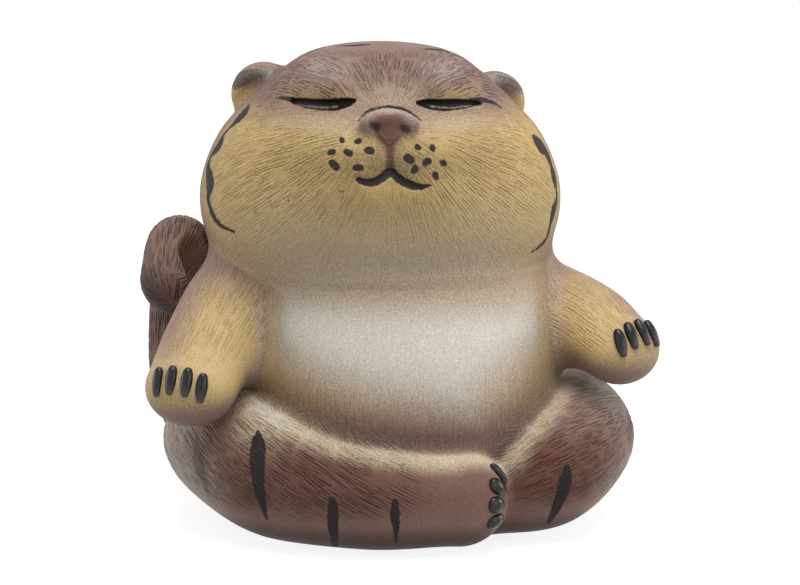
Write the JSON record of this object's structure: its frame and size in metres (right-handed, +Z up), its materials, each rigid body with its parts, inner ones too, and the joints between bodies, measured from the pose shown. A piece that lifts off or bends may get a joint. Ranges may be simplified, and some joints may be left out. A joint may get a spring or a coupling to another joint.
{
  "type": "tiger tea pet",
  "caption": "Seated chubby tiger figurine in unglazed clay with closed eyes, crossed legs and a curled tail; a tea pet that stands on a tea tray.",
  "frame": {"origin": "on the underside of the base slab, at the middle of the trunk", "axes": "+Z up, the face looks towards -Y, +X to the tiger's left"},
  "size_m": [0.0795, 0.0651, 0.074],
  "materials": {
    "brown_clay": "bare purplish-brown fired clay, matt with a faint sheen, combed with fine hair lines",
    "yellow_slip": "ochre slip sprayed thinly over the brown clay, matt",
    "white_slip": "pale grey-white slip sprayed over the brown clay with a speckled edge, matt",
    "dark_slip": "dark slip, satin"
  },
  "bodies": {
    "root": {"trunk_front_shell": "white_slip", "trunk_back_shell": "brown_clay", "base_slab": "brown_clay", "face_shell": "yellow_slip", "crown_shell": "brown_clay", "nose_pad": "brown_clay", "right_ear": "brown_clay", "left_ear": "brown_clay", "right_arm": "yellow_slip", "left_arm": "yellow_slip", "right_leg": "brown_clay", "left_leg": "brown_clay", "tail": "brown_clay", "right_hand_claw_1": "dark_slip", "right_hand_claw_2": "dark_slip", "right_hand_claw_3": "dark_slip", "right_hand_claw_4": "dark_slip", "left_hand_claw_1": "dark_slip", "left_hand_claw_2": "dark_slip", "left_hand_claw_3": "dark_slip", "left_hand_claw_4": "dark_slip", "right_foot_claw_1": "dark_slip", "right_foot_claw_2": "dark_slip", "right_foot_claw_3": "dark_slip", "right_foot_claw_4": "dark_slip"}
  },
  "joints": []
}
